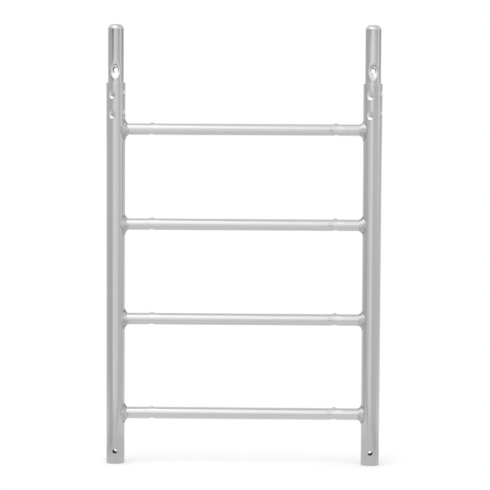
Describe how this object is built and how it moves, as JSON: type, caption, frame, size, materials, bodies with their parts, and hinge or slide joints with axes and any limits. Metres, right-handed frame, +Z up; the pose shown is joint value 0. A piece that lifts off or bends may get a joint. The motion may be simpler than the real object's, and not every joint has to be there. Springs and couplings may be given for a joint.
{
  "type": "scaffold tower frame",
  "caption": "Aluminium ladder frame for a scaffold tower: tubular uprights with crimped spigots and pin holes, joined by welded round rungs.",
  "frame": {"origin": "midway between the axes of the uprights, level with their feet", "axes": "+Z up along the uprights, +X from the left upright to the right one, -Y the front with the pin holes seen in the picture"},
  "size_m": [0.7248, 0.0498, 1.1585],
  "materials": {
    "tube": "mill-finish drawn tube with fine lengthwise draw lines",
    "spigot": "drawn tube, rubbed brighter along its length",
    "weld": "rippled fillet weld, satin"
  },
  "bodies": {
    "root": {"upright_left": "tube", "upright_right": "tube", "spigot_left": "spigot", "spigot_right": "spigot", "rung_1": "tube", "rung_2": "tube", "rung_3": "tube", "rung_4": "tube", "weld_1_left": "weld", "weld_1_right": "weld", "weld_2_left": "weld", "weld_2_right": "weld", "weld_3_left": "weld", "weld_3_right": "weld", "weld_4_left": "weld", "weld_4_right": "weld"}
  },
  "joints": []
}
